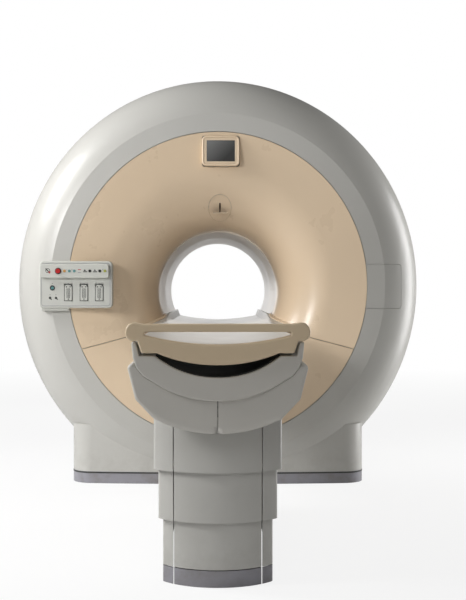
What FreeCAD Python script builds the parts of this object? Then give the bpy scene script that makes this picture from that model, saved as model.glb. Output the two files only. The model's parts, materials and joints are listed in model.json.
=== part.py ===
"""Closed-bore magnetic resonance scanner: a magnet inside moulded covers, with its patient table docked in front.

Millimetres, +Z up, +Y from the table into the bore. Everything is drawn with y = 0 at the flat front ring of the
covers, and moved by FRONT_Y when it is written, so that the origin is on the floor under the machine's middle.
"""

import FreeCAD
import Part

import math
import os

V = FreeCAD.Vector
X, Y, Z = V(1, 0, 0), V(0, 1, 0), V(0, 0, 1)

# Whole machine
COVER_DEPTH = 1700.0
TABLE_LENGTH = 2139.0  # from the front ring to the handle end of the table
FRONT_Y = (TABLE_LENGTH - COVER_DEPTH) / 2

# Bore
AXIS_Z = 985.0
BORE_R = 300.0
THROAT_R = 315.0
THROAT_Y = 350.0
BORE_START_Y = 728.0
BORE_END_Y = 1541.0
TUBE_WALL = 5.0

# Magnet covers: a barrel a little taller than wide, whose middle is above the bore axis
COVER_Z = 1011.0
TALLER = 1.029
BARREL_R = 1047.0
CREASE_R = 850.0
FUNNEL_R = 759.0
SHOULDER_DEPTH = 240.0
RIM_CORE_R = 400.0  # the end covers are cut from rings with this hole
WALL = 6.0
SEAM = 3.0  # gap between neighbouring covers
FRONT_SEAM_Y = 330.0
FUNNEL_SLOPE = math.radians(10)
REAR_FUNNEL_R = 600.0
REAR_FLARE_R = 150.0

# Base of the covers
BASE_HALF_WIDTH = 750.0
BASE_FRONT_Y = 16.0
BASE_BOW = 28.0
BASE_CORNER_R = 112.0
BASE_TOP_Z = 300.0
PLINTH_HEIGHT = 60.0
PLINTH_WALL = 12.0

# Funnel fittings
DISPLAY_X = 15.0
DISPLAY_Z = 1694.0
DISPLAY_SIZE = (191.0, 153.0)
SCREEN_SIZE = (142.0, 106.0)
BEZEL_FRONT_Y, BEZEL_BACK_Y = -6.0, 24.0
SCREEN_FRONT_Y, SCREEN_BACK_Y = -2.0, 12.0
LASER_X = 11.0
LASER_Z = 1414.0
LASER_SIZE = (116.0, 130.0)
LASER_SLOT = (8.0, 50.0)
BLANK_X = (761.0, 936.0)
BLANK_Z = (895.0, 1118.0)

# Operator panel
PANEL_X = (-901.0, -531.0)
PANEL_Z = (897.0, 1133.0)
PANEL_FACE_Y = -45.0
STRIP_X = (-893.0, -547.0)
STRIP_Z = (1048.0, 1118.0)
STRIP_FACE_Y = -70.0
BUTTON_Z = 1083.0
BUTTON_TRAVEL = 3.0
BUTTONS = {  # name: (x, radius)
    "emergency_stop_button": (-801.0, 12.0),
    "ventilation_button": (-769.0, 7.0),
    "table_up_button": (-745.0, 7.0),
    "table_down_button": (-720.0, 7.0),
    "tabletop_in_button": (-642.0, 7.0),
    "tabletop_out_button": (-592.0, 7.0),
    "bore_light_button": (-566.0, 7.0),
}
COIL_SOCKET_X = (-753.0, -674.0, -597.0)
COIL_SOCKET_Z = (932.0, 1020.0)
COIL_SOCKET_WIDTH = 42.0
ROUND_SOCKET = (-833.0, 998.0, 13.0)  # x, z, radius
JACKS = ((-845.0, 948.0), (-815.0, 948.0))
JACK_R = 6.0

# Magnet
VESSEL_R = (450.0, 880.0)
VESSEL_Y = (200.0, 1500.0)
MAIN_COILS = ((520.0, 120.0), (330.0, 90.0), (120.0, 70.0))  # (distance from the middle, width) of each pair

# Table column: three nested tiers, the lowest one fixed to the floor
COLUMN_FRONT_Y = -1978.0
COLUMN_REAR_Y = -650.0
COLUMN_HALF_WIDTH = 186.0
COLUMN_BOW = 90.0
COLUMN_CORNER_R = 24.0
TIER_STEP = 15.0
TIER_WALL = 5.0
PANEL_HALF_WIDTH = 148.0
TABLE_PLINTH_HEIGHT = 55.0
TIER_Z = ((58.0, 250.0), (216.0, 400.0), (384.0, 568.0))  # lower, middle, upper

# Table top section
HULL_FRONT_Y = -2122.0
TABLE_REAR_Y = -40.0
BOARD_HALF_WIDTH = 240.0
BOARD_REAR_Y = -22.0
BOARD_TOP = (840.0, 813.0)  # height at its edges and along its middle
BOARD_UNDER = (828.0, 799.0)
SHELF_X = (206.0, 240.0)  # the flat shelves inside the trough
SHELF_Z = 777.5
STRIP_THICKNESS = 8.2
SADDLE_LENGTH = 240.0  # at full travel the handle end stops just short of the saddles

# Bridge that carries the tabletop through the bore, with a raised rail at each side
BRIDGE_HALF_WIDTH = 248.0
BRIDGE_TOP = (824.0, 797.0)  # height of its dish at the rails and along the middle
BRIDGE_THICKNESS = 40.0
BRIDGE_REAR_Y = 1690.0
RAIL_TOP = ((262.0, 862.0), (330.0, 862.0))  # its inner and outer edges inside the bore
ENTRY_Y = 60.0
ENTRY_RAIL_TOP = ((275.0, 823.0), (420.0, 790.0))  # the same edges where the bridge starts, in the funnel
ENTRY_GAP = 8.0  # from the funnel's surface


# ---- drawing helpers ----


def outline(start, *steps):
    """A closed face in the XZ plane: each step is a point for a line, or a pair (middle, end) for an arc."""
    edges = []
    here = V(start[0], 0, start[1])
    for step in steps + (start,):
        if isinstance(step[0], tuple):
            middle, end = (V(p[0], 0, p[1]) for p in step)
            edges.append(Part.Arc(here, middle, end).toShape())
        else:
            end = V(step[0], 0, step[1])
            if end.distanceToPoint(here) < 1e-6:
                continue
            edges.append(Part.LineSegment(here, end).toShape())
        here = end
    return Part.Face(Part.Wire(edges))


def prism(face, y0, y1):
    """A face of the XZ plane, swept from y0 to y1."""
    return face.translated(V(0, y0, 0)).extrude(V(0, y1 - y0, 0))


def symmetric(start, *steps):
    """A closed face of the XZ plane from its right half, which starts and ends on the middle line."""
    half = prism(outline(start, *steps), 0, 1)
    whole = half.fuse(half.mirror(V(0, 0, 0), X)).removeSplitter()
    return [f for f in whole.Faces if abs(f.CenterOfMass.y) < 1e-6][0]


def box(x, y, z):
    """A box from pairs of limits, in any order."""
    low = [min(pair) for pair in (x, y, z)]
    high = [max(pair) for pair in (x, y, z)]
    return Part.makeBox(*[b - a for a, b in zip(low, high)], V(*low))


def rounded_box(x, y, z, radius, axis):
    """A box with the four edges along one axis rounded."""
    body = box(x, y, z)
    edges = [e for e in body.Edges if abs(e.tangentAt(e.FirstParameter).dot(axis)) > 0.99]
    return body.makeFillet(radius, edges)


def cylinder_y(radius, y0, y1, x=0.0, z=AXIS_Z):
    return Part.makeCylinder(radius, y1 - y0, V(x, y0, z), Y)


def ring_y(outer, inner, y0, y1):
    return cylinder_y(outer, y0, y1).cut(cylinder_y(inner, y0 - 1, y1 + 1))


def hollow_ring(radii, y, wall):
    """A closed annular vessel around the bore axis."""
    inner, outer = radii
    cavity = ring_y(outer - wall, inner + wall, y[0] + wall, y[1] - wall)
    return ring_y(outer, inner, *y).cut(cavity)


def turned(start, *steps):
    """A profile of (radius, y) points turned about the Y axis, through the origin."""
    face = outline(start, *steps)
    face.rotate(V(0, 0, 0), X, -90)
    return face.revolve(V(0, 0, 0), Y, 360)


def arc_point(centre, radius, angle):
    return (centre[0] + radius * math.cos(angle), centre[1] + radius * math.sin(angle))


def one_solid(shape):
    """The largest solid of a shape, when trimming leaves slivers beside it."""
    return max(shape.Solids, key=lambda s: s.Volume)


# ---- magnet covers ----


def onto_cover(shape, lean=0.0):
    """Stretches a round turned shape to the covers' height; lean is how far its middle drops for each mm of depth."""
    m = FreeCAD.Matrix()
    m.A33 = TALLER
    m.A32 = -lean
    m.A34 = COVER_Z
    return shape.transformGeometry(m)


def shoulder(inset):
    """The profile of the rounded rim, in from its surface by inset: its start at the crease, middle and end."""
    reach = BARREL_R - CREASE_R
    radius = (reach**2 + SHOULDER_DEPTH**2) / (2 * reach)
    centre = (BARREL_R - radius, SHOULDER_DEPTH)
    begin = -math.pi / 2 + math.asin((CREASE_R - centre[0]) / radius)
    start = arc_point(centre, radius - inset, begin)
    middle = arc_point(centre, radius - inset, begin / 2)
    return start, middle, (BARREL_R - inset, SHOULDER_DEPTH)


def rim_body(inset, depth):
    """The covers' round front end as a thick ring, in from its surface by inset."""
    start, middle, end = shoulder(inset)
    top = (start[0], inset) if inset else start
    return onto_cover(turned((RIM_CORE_R, inset), top, start, (middle, end), (end[0], depth), (RIM_CORE_R, depth)))


def base_body(inset, depth, bottom):
    """The block under the barrel, with rounded front corners."""
    half = BASE_HALF_WIDTH - inset
    front = BASE_FRONT_Y + inset
    radius = BASE_CORNER_R - inset
    corner_y = front + BASE_BOW + radius
    turn = radius * (1 - math.sqrt(0.5))
    edges = [
        Part.Arc(V(-half + radius, front + BASE_BOW, 0), V(0, front, 0), V(half - radius, front + BASE_BOW, 0)),
        Part.Arc(
            V(half - radius, front + BASE_BOW, 0),
            V(half - turn, front + BASE_BOW + turn, 0),
            V(half, corner_y, 0),
        ),
        Part.LineSegment(V(half, corner_y, 0), V(half, depth, 0)),
        Part.LineSegment(V(half, depth, 0), V(-half, depth, 0)),
        Part.LineSegment(V(-half, depth, 0), V(-half, corner_y, 0)),
        Part.Arc(
            V(-half, corner_y, 0),
            V(-half + turn, front + BASE_BOW + turn, 0),
            V(-half + radius, front + BASE_BOW, 0),
        ),
    ]
    plan = Part.Face(Part.Wire([e.toShape() for e in edges]))
    return plan.translated(V(0, 0, bottom)).extrude(V(0, 0, BASE_TOP_Z - inset - bottom))


def above(shape, height):
    reach = 2 * BARREL_R
    return shape.common(box((-reach, reach), (-10, COVER_DEPTH + 10), (height, 3 * reach)))


def end_body(inset, depth, bottom):
    """The rounded end of the covers joined to the block under it."""
    return above(rim_body(inset, depth), bottom).fuse(base_body(inset, depth, bottom))


def end_cover(opening_r):
    """The moulded cover of one end of the barrel, with the skirt under it, as at the front."""
    outer = end_body(0.0, FRONT_SEAM_Y, PLINTH_HEIGHT)
    inner = end_body(WALL, FRONT_SEAM_Y + 1, PLINTH_HEIGHT - 10)
    mouth = onto_cover(cylinder_y(opening_r, -10, 60, z=0.0))
    return one_solid(outer.cut(inner).cut(mouth))


def barrel_section(inset):
    """The outline of the covers' middle length: the barrel with the base under it."""
    around = Part.Ellipse(V(0, 0, 0), (BARREL_R - inset) * TALLER, BARREL_R - inset).toShape()
    disc = Part.Face(Part.Wire([around]))
    disc.rotate(V(0, 0, 0), Z, 90)
    disc.rotate(V(0, 0, 0), X, 90)
    half = BASE_HALF_WIDTH - inset
    foot = outline((-half, -50), (half, -50), (half, BASE_TOP_Z - inset), (-half, BASE_TOP_Z - inset))
    return disc.translated(V(0, 0, COVER_Z)), foot


def barrel_cover(side):
    """One half of the wrap around the barrel, open underneath; side is -1 for the left half."""
    y0, y1 = FRONT_SEAM_Y + SEAM, COVER_DEPTH - FRONT_SEAM_Y - SEAM
    outer, outer_foot = (prism(f, y0, y1) for f in barrel_section(0.0))
    inner, inner_foot = (prism(f, y0 - 1, y1 + 1) for f in barrel_section(WALL))
    wrap = above(outer.fuse(outer_foot), PLINTH_HEIGHT).cut(inner.fuse(inner_foot))
    reach = 2 * BARREL_R
    half = box((side * SEAM / 2, side * reach), (0, COVER_DEPTH), (0, 3 * reach))
    return one_solid(wrap.common(half))


def plinth():
    """The strip around the foot of the covers."""
    middle = COVER_DEPTH / 2
    front = base_body(0.0, middle, 0.0).cut(base_body(PLINTH_WALL, middle + 1, -1.0))
    front = front.common(box((-2000, 2000), (0, middle), (0, PLINTH_HEIGHT)))
    rear = front.mirror(V(0, middle, 0), Y)
    return front.fuse(rear).removeSplitter()


def funnel_profile(inset):
    """The funnel's front surface from its mouth to the throat, or that surface moved back by inset."""
    cos, sin, tan = math.cos(FUNNEL_SLOPE), math.sin(FUNNEL_SLOPE), math.tan(FUNNEL_SLOPE)
    radius = (THROAT_Y - (FUNNEL_R - THROAT_R) * tan) / (cos - (1 - sin) * tan)
    centre = (THROAT_R + radius, THROAT_Y)
    first = math.pi * 1.5 - FUNNEL_SLOPE
    bend = arc_point(centre, radius - inset, first)
    middle = arc_point(centre, radius - inset, (first + math.pi) / 2)
    mouth = (FUNNEL_R + inset * sin, inset * cos)
    return mouth, bend, middle, (THROAT_R + inset, THROAT_Y)


def funnel_lean():
    return (COVER_Z - AXIS_Z) / THROAT_Y


def funnel_shell():
    mouth, bend, middle, throat = funnel_profile(0.0)
    back_mouth, back_bend, back_middle, back_throat = funnel_profile(WALL)
    edge = FUNNEL_R - SEAM / 2
    slope = math.tan(FUNNEL_SLOPE)
    start = (edge, (FUNNEL_R - edge) * slope)
    back = (edge, back_mouth[1] + (back_mouth[0] - edge) * slope)
    shell = turned(start, bend, (middle, throat), back_throat, (back_middle, back_bend), back)
    return onto_cover(shell, funnel_lean())


def funnel_space(gap=0.0):
    """The room in front of the funnel, or as much of it as stays clear of the surface by gap."""
    mouth, bend, middle, throat = funnel_profile(-gap)
    room = turned((0, -200), (mouth[0], -200), mouth, bend, (middle, throat), (0, throat[1]))
    return onto_cover(room, funnel_lean())


def funnel_region(name):
    """The part of the front view that one funnel cover fills, as a prism."""
    inner, outer, gap = (250.0, 803.0), (900.0, 633.0), SEAM / 2
    if name == "funnel_upper":
        face = symmetric((0, 803 + gap), (inner[0], inner[1] + gap), (outer[0], outer[1] + gap), (900, 2000), (0, 2000))
    else:
        face = outline((gap, 803 - gap), (inner[0], inner[1] - gap), (outer[0], outer[1] - gap), (900, 0), (gap, 0))
    region = prism(face, -50, COVER_DEPTH)
    return region.mirror(V(0, 0, 0), X) if name == "funnel_left" else region


def oval(width, height, x, z, y0, y1):
    face = Part.Face(Part.Wire([Part.Ellipse(V(0, 0, 0), height / 2, width / 2).toShape()]))
    face.rotate(V(0, 0, 0), Z, 90)
    face.rotate(V(0, 0, 0), X, 90)
    return prism(face.translated(V(x, 0, z)), y0, y1)


def rear_funnel():
    centre = (BORE_R + REAR_FLARE_R, BORE_END_Y + 2)
    angle = math.radians(100)
    mouth = (REAR_FUNNEL_R - SEAM / 2, COVER_DEPTH - 2)
    bend = arc_point(centre, REAR_FLARE_R, angle)
    middle = arc_point(centre, REAR_FLARE_R, math.radians(140))
    back_bend = arc_point(centre, REAR_FLARE_R - WALL, angle)
    back_middle = arc_point(centre, REAR_FLARE_R - WALL, math.radians(140))
    shell = turned(
        mouth,
        bend,
        (middle, (BORE_R, centre[1])),
        (BORE_R + WALL, centre[1]),
        (back_middle, back_bend),
        (mouth[0], mouth[1] - WALL),
    )
    lean = (AXIS_Z - COVER_Z) / (COVER_DEPTH - BORE_END_Y)
    return onto_cover(shell, lean).translated(V(0, 0, lean * BORE_END_Y + AXIS_Z - COVER_Z))


def bore_entry_ring():
    y0 = THROAT_Y + SEAM
    ring = turned(
        (THROAT_R, y0),
        (BORE_R, BORE_START_Y),
        (BORE_R + TUBE_WALL, BORE_START_Y),
        (THROAT_R + TUBE_WALL, y0 + 20),
        (THROAT_R + 3 * TUBE_WALL, y0 + 20),
        (THROAT_R + 3 * TUBE_WALL, y0),
    )
    return ring.translated(V(0, 0, AXIS_Z))


# ---- table sections that are shared ----


def board_band(top, under, half):
    """The dished section of the tabletop: heights (edge, middle) of its top and underside."""
    return outline((-half, top[0]), ((0, top[1]), (half, top[0])), (half, under[0]), ((0, under[1]), (-half, under[0])))


def over_dish(edge, middle, half):
    """The room over a dished surface, from its heights at the edges and along its middle."""
    return outline((-half, edge), ((0, middle), (half, edge)), (half, 900), (-half, 900))


def bridge_band(rail_inner, rail_outer):
    """The bridge's section: a dish between two side rails, whose tops run from rail_inner to rail_outer."""
    half = BRIDGE_HALF_WIDTH
    edge, middle = BRIDGE_TOP
    under = edge - BRIDGE_THICKNESS
    wide = rail_outer[0]
    return outline(
        (-wide, rail_outer[1]),
        (-rail_inner[0], rail_inner[1]),
        (-half, edge),
        ((0, middle), (half, edge)),
        rail_inner,
        rail_outer,
        (wide, under),
        ((0, middle - BRIDGE_THICKNESS), (-wide, under)),
    )


def bore_bridge():
    """The fixed shelf in the bore that carries the tabletop."""
    shelf = prism(bridge_band(*RAIL_TOP), THROAT_Y, BRIDGE_REAR_Y)
    return one_solid(shelf.common(cylinder_y(BORE_R - 0.5, THROAT_Y, COVER_DEPTH)))


def entry_plate():
    """The bridge's flared start, whose rails open out along the funnel."""
    start = bridge_band(*ENTRY_RAIL_TOP).OuterWire.translated(V(0, ENTRY_Y, 0))
    end = bridge_band(*RAIL_TOP).OuterWire.translated(V(0, THROAT_Y, 0))
    return one_solid(Part.makeLoft([start, end], True, True).common(funnel_space(ENTRY_GAP)))


# ---- operator panel ----


def covers_front():
    """Everything behind the visible front of the covers, to trim what is mounted on it."""
    return rim_body(0.0, FRONT_SEAM_Y).cut(funnel_space())


def operator_panel():
    housing = rounded_box(PANEL_X, (PANEL_FACE_Y, 90), PANEL_Z, 22, Y)
    front_edges = [e for e in housing.Edges if abs(e.BoundBox.YMax - PANEL_FACE_Y) < 0.1]
    housing = housing.makeFillet(6, front_edges)
    return housing


def coil_socket(x):
    """One keyed socket for a receive coil's plug: a deep frame with an arched top and a pin block inside."""
    half = COIL_SOCKET_WIDTH / 2
    z0, z1 = COIL_SOCKET_Z
    frame = symmetric((0, z0), (half, z0), (half, z1 - 18), (half - 10, z1 - 4), (0, z1))
    room = symmetric((0, z0 + 5), (half - 5, z0 + 5), (half - 5, z1 - 20), (half - 13, z1 - 9), (0, z1 - 6))
    body = prism(frame, PANEL_FACE_Y - 2, PANEL_FACE_Y + 20).cut(prism(room, PANEL_FACE_Y - 3, PANEL_FACE_Y + 14))
    pins = box((-9, 9), (PANEL_FACE_Y + 2, PANEL_FACE_Y + 14), (z0 + 22, z1 - 30))
    return body.fuse(pins).translated(V(x, 0, 0))


def panel_parts():
    parts = {}
    housing = operator_panel()
    strip = rounded_box(STRIP_X, (STRIP_FACE_Y, PANEL_FACE_Y), STRIP_Z, 14, Y)
    edges = [e for e in strip.Edges if abs(e.BoundBox.YMax - STRIP_FACE_Y) < 0.1]
    strip = strip.makeFillet(4, edges)
    for name, (x, radius) in BUTTONS.items():
        proud = 10.0 if name == "emergency_stop_button" else 3.0
        cap = cylinder_y(radius, STRIP_FACE_Y - proud, STRIP_FACE_Y + 8, x, BUTTON_Z)
        rim = [e for e in cap.Edges if abs(e.BoundBox.YMax - STRIP_FACE_Y + proud) < 0.1]
        parts[name] = cap.makeFillet(1.5, rim)
        strip = strip.cut(cylinder_y(radius + 0.5, STRIP_FACE_Y - 1, STRIP_FACE_Y + 8 + BUTTON_TRAVEL + 1, x, BUTTON_Z))
    for i, x in enumerate(COIL_SOCKET_X):
        socket = coil_socket(x)
        parts[f"coil_socket_{i + 1}"] = socket
        bounds = socket.BoundBox
        housing = housing.cut(
            box((bounds.XMin, bounds.XMax), (PANEL_FACE_Y - 3, PANEL_FACE_Y + 20), (bounds.ZMin, bounds.ZMax))
        )
    x, z, radius = ROUND_SOCKET
    parts["monitoring_socket"] = cylinder_y(radius, PANEL_FACE_Y - 3, PANEL_FACE_Y + 20, x, z).cut(
        cylinder_y(radius - 4, PANEL_FACE_Y - 4, PANEL_FACE_Y + 14, x, z)
    )
    housing = housing.cut(cylinder_y(radius, PANEL_FACE_Y - 4, PANEL_FACE_Y + 20, x, z))
    jacks = []
    for x, z in JACKS:
        jack = cylinder_y(JACK_R, PANEL_FACE_Y - 2, PANEL_FACE_Y + 18, x, z)
        housing = housing.cut(jack)
        jacks.append(jack.cut(cylinder_y(JACK_R - 3, PANEL_FACE_Y - 3, PANEL_FACE_Y + 14, x, z)))
    parts["signal_jacks"] = Part.makeCompound(jacks)
    parts["operator_panel"] = one_solid(housing.cut(covers_front()))
    parts["keypad_strip"] = strip
    return parts


# ---- table ----


def tier_body(tier, inset, z0, z1):
    """A length of the column as a full body; tier is 0 for the lower one, and each next one is larger."""
    half = COLUMN_HALF_WIDTH + tier * TIER_STEP - inset
    front = COLUMN_FRONT_Y - tier * TIER_STEP + inset
    rear = COLUMN_REAR_Y + tier * TIER_STEP - inset
    edges = [
        Part.Arc(V(-half, front + COLUMN_BOW, z0), V(0, front, z0), V(half, front + COLUMN_BOW, z0)),
        Part.LineSegment(V(half, front + COLUMN_BOW, z0), V(half, rear, z0)),
        Part.LineSegment(V(half, rear, z0), V(-half, rear, z0)),
        Part.LineSegment(V(-half, rear, z0), V(-half, front + COLUMN_BOW, z0)),
    ]
    body = Part.Face(Part.Wire([e.toShape() for e in edges])).extrude(V(0, 0, z1 - z0))
    upright = [e for e in body.Edges if abs(e.BoundBox.ZLength - (z1 - z0)) < 0.1]
    return body.makeFillet(COLUMN_CORNER_R - inset, upright)


def tier_panels(tier, z0, z1, name):
    """The front panel of a length of the column, and the wrap around its sides and back."""
    shell = tier_body(tier, 0.0, z0, z1).cut(tier_body(tier, TIER_WALL, z0 - 1, z1 + 1))
    gap = SEAM / 2
    front_y = COLUMN_FRONT_Y + COLUMN_BOW + 50
    inside = box((-PANEL_HALF_WIDTH + gap, PANEL_HALF_WIDTH - gap), (-3000, front_y), (-10, 1000))
    outside = box((-PANEL_HALF_WIDTH - gap, PANEL_HALF_WIDTH + gap), (-3000, front_y), (-10, 1000))
    return {f"{name}_front": shell.common(inside), f"{name}_wrap": one_solid(shell.cut(outside))}


def trough_outer():
    return symmetric(
        (0, 632),
        ((88, 641), (209, 694)),
        ((240, 712), (261, 739)),
        (271, 770),
        (276, 823),
        (257, 823),
        (0, 823),
    )


def trough_room():
    return symmetric((0, 707), ((109, 725), (200.5, 777.5)), (252, 777.5), (257, 830), (0, 830))


def trough():
    """The U-shaped bed that the tabletop lies in: a closed moulding at the front, hollow behind it."""
    body = prism(trough_outer(), HULL_FRONT_Y, TABLE_REAR_Y).cut(prism(trough_room(), HULL_FRONT_Y - 1, TABLE_REAR_Y + 1))
    hollow = symmetric(
        (0, 640),
        ((86, 649), (204, 701)),
        ((233, 718), (253, 742)),
        (262, 769.5),
        (197, 769.5),
        ((112, 718), (0, 699)),
    )
    return body.cut(prism(hollow, HULL_FRONT_Y + 30, TABLE_REAR_Y + 1))


def hull_section(inset):
    return symmetric(
        (0, 524 + inset),
        ((112, 537 + inset), (207, 574 + inset)),
        (264 - inset, 636),
        (289 - inset, 754 - inset),
        (0, 754 - inset),
    )


def hull(side):
    """One half of the shell around the trough's underside and the lift frame."""
    outer = prism(hull_section(0.0), HULL_FRONT_Y + 3, TABLE_REAR_Y)
    corners = [e for e in outer.Edges if abs(e.BoundBox.YMax - HULL_FRONT_Y - 3) < 0.1 and e.BoundBox.ZMax < 760]
    corners = [e for e in corners if e.BoundBox.ZMin < 750]
    outer = outer.makeFillet(10, corners)
    inner = prism(hull_section(WALL), HULL_FRONT_Y + 3 + WALL, TABLE_REAR_Y - WALL)
    shell = outer.cut(inner).cut(prism(trough_outer(), HULL_FRONT_Y - 1, TABLE_REAR_Y + 1))
    shell = shell.cut(tier_body(2, -SEAM, 400, 620))
    return one_solid(shell.common(box((side * SEAM / 2, side * 400), (-2200, 0), (400, 800))))


def table_chassis():
    """Two beams on a plate, welded, which carry the trough on the lift."""
    plate = box((-175, 175), (-1880, -700), (568, 586))
    beams = [box((x - 25, x + 25), (HULL_FRONT_Y + 40, TABLE_REAR_Y - 40), (586, 630)) for x in (-80, 80)]
    frame = plate.fuse(beams).cut(prism(trough_outer(), HULL_FRONT_Y, TABLE_REAR_Y))
    return frame


def lift_tube(half, y_half, z0, z1, wall=8.0):
    middle = (COLUMN_FRONT_Y + COLUMN_REAR_Y) / 2
    outer = box((-half, half), (middle - y_half, middle + y_half), (z0, z1))
    inner = box((wall - half, half - wall), (middle - y_half + wall, middle + y_half - wall), (z0 - 1, z1 + 1))
    return outer.cut(inner)


def table_base():
    plate = box((-150, 150), (COLUMN_FRONT_Y + 140, COLUMN_REAR_Y - 60), (0, 20))
    return plate.fuse(lift_tube(110, 190, 20, 250)).removeSplitter()


def tabletop():
    return prism(board_band(BOARD_TOP, BOARD_UNDER, BOARD_HALF_WIDTH), HULL_FRONT_Y + 30, BOARD_REAR_Y)


def table_rails():
    """A low strip on each shelf, on which the handle end slides, rising at its rear to a saddle under the board."""
    strip = box(SHELF_X, (HULL_FRONT_Y + 60, TABLE_REAR_Y), (SHELF_Z, SHELF_Z + STRIP_THICKNESS))
    saddle = box(SHELF_X, (TABLE_REAR_Y - SADDLE_LENGTH, TABLE_REAR_Y), (SHELF_Z, BOARD_UNDER[0]))
    under = prism(over_dish(BOARD_UNDER[0] - 0.5, BOARD_UNDER[1] - 0.5, BOARD_HALF_WIDTH), -TABLE_LENGTH, 0)
    rail = one_solid(strip.fuse(saddle).cut(under))
    return Part.makeCompound([rail, rail.mirror(V(0, 0, 0), X)])


def end_cap():
    """The handle end of the tabletop: a thick dished block with a bar across it, moulded in one."""
    front = -TABLE_LENGTH
    back = HULL_FRONT_Y + 30
    section = symmetric((0, 748), ((106, 759), (195, 786)), (242, 786), (255, 825), (256, 846), ((130, 822), (0, 813)))
    block = prism(section, front + 4, back)
    bar = rounded_box((-294, 294), (front, front + 26), (853.5, 879), 12, Y)
    knobs = [rounded_box((s * 294, s * 245), (front, front + 26), (826, 885), 24, Y) for s in (-1, 1)]
    return block.fuse([bar] + knobs).removeSplitter()


# ---- magnet ----


def magnet_feet():
    feet = []
    for x in (-450, 450):
        for y in (VESSEL_Y[0] + 200, VESSEL_Y[1] - 350):
            feet.append(box((x - 90, x + 90), (y, y + 150), (0, 420)).cut(cylinder_y(VESSEL_R[1], 0, COVER_DEPTH)))
    return Part.makeCompound([f for foot in feet for f in foot.Solids if f.BoundBox.ZMin < 1])


def coil_rings(inner, outer, pairs):
    middle = sum(VESSEL_Y) / 2
    rings = []
    for distance, width in pairs:
        for side in (-1, 1):
            at = middle + side * distance
            rings.append(ring_y(outer, inner, at - width / 2, at + width / 2))
    return Part.makeCompound(rings)


def magnet_parts():
    y0, y1 = VESSEL_Y
    inner, outer = VESSEL_R
    middle = (y0 + y1) / 2
    top = AXIS_Z + outer
    turret = Part.makeCylinder(120, 150, V(0, middle, top - 20), Z).cut(cylinder_y(outer, 0, COVER_DEPTH))
    head = Part.makeCylinder(55, 55, V(0, middle, top + 130), Z)
    head = head.fuse(Part.makeCylinder(80, 14, V(0, middle, top + 130), Z))
    return {
        "vacuum_vessel": hollow_ring((inner, outer), (y0, y1), 14.0),
        "thermal_shield": hollow_ring((inner + 24, outer - 26), (y0 + 26, y1 - 26), 4.0),
        "helium_vessel": hollow_ring((inner + 40, outer - 44), (y0 + 44, y1 - 44), 8.0),
        "main_coils": coil_rings(inner + 60, inner + 130, MAIN_COILS),
        "shield_coils": coil_rings(outer - 100, outer - 60, ((430.0, 80.0),)),
        "gradient_coil": ring_y(inner - 8, 345, 330, BORE_END_Y - 60),
        "body_coil": ring_y(331, 313, 600, 1300),
        "service_turret": turret,
        "cold_head": head,
        "magnet_feet": magnet_feet(),
    }


# ---- the whole machine ----


def display_spans(size, gap=0.0):
    half_w, half_h = size[0] / 2 + gap, size[1] / 2 + gap
    return (DISPLAY_X - half_w, DISPLAY_X + half_w), (DISPLAY_Z - half_h, DISPLAY_Z + half_h)


def funnel_parts():
    shell = funnel_shell()
    parts = {name: shell.common(funnel_region(name)) for name in ("funnel_upper", "funnel_left", "funnel_right")}
    upper = parts["funnel_upper"]
    laser = oval(*LASER_SIZE, LASER_X, LASER_Z, -50, THROAT_Y)
    cover = upper.common(laser)
    upper = upper.cut(oval(LASER_SIZE[0] + SEAM, LASER_SIZE[1] + SEAM, LASER_X, LASER_Z, -50, THROAT_Y))
    slot_w, slot_h = (size / 2 for size in LASER_SLOT)
    window = rounded_box(
        (LASER_X - slot_w, LASER_X + slot_w), (-50, THROAT_Y), (LASER_Z - slot_h, LASER_Z + slot_h), 3.9, Y
    )
    parts["laser_window"] = one_solid(cover.common(window))
    parts["laser_cover"] = one_solid(cover.cut(window))
    frame_x, frame_z = display_spans(DISPLAY_SIZE)
    screen_x, screen_z = display_spans(SCREEN_SIZE)
    bezel = rounded_box(frame_x, (BEZEL_FRONT_Y, BEZEL_BACK_Y), frame_z, 14, Y)
    front = [e for e in bezel.Edges if abs(e.BoundBox.YMax - BEZEL_FRONT_Y) < 0.1]
    bezel = bezel.makeFillet(4, front)
    pocket_x, pocket_z = display_spans(DISPLAY_SIZE, 1)
    pocket = rounded_box(pocket_x, (-40, 60), pocket_z, 14, Y)
    parts["display_bezel"] = bezel.cut(box(screen_x, (-30, SCREEN_BACK_Y), screen_z))
    parts["display_screen"] = box(screen_x, (SCREEN_FRONT_Y, SCREEN_BACK_Y), screen_z)
    parts["funnel_upper"] = one_solid(upper.cut(pocket))
    parts["funnel_left"] = one_solid(parts["funnel_left"])
    parts["funnel_right"] = one_solid(parts["funnel_right"])
    return parts


def cover_parts():
    front = end_cover(FUNNEL_R + SEAM / 2)
    blank = rounded_box(BLANK_X, (-50, 200), BLANK_Z, 12, Y)
    gap = 1.5
    pocket = rounded_box(
        (BLANK_X[0] - 20, BLANK_X[1] + gap), (-50, 200), (BLANK_Z[0] - gap, BLANK_Z[1] + gap), 13, Y
    )
    parts = {
        "blanking_panel": one_solid(front.common(blank)),
        "front_cover": one_solid(front.cut(pocket)),
        "rear_cover": end_cover(REAR_FUNNEL_R + SEAM / 2).mirror(V(0, COVER_DEPTH / 2, 0), Y),
        "left_barrel_cover": barrel_cover(-1),
        "right_barrel_cover": barrel_cover(1),
        "plinth_strip": plinth(),
        "rear_funnel": rear_funnel(),
        "bore_entry_ring": bore_entry_ring(),
        "bore_liner": ring_y(BORE_R + TUBE_WALL, BORE_R, BORE_START_Y + 1, BORE_END_Y),
        "bore_bridge": bore_bridge(),
        "entry_plate": entry_plate(),
    }
    return parts


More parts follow.
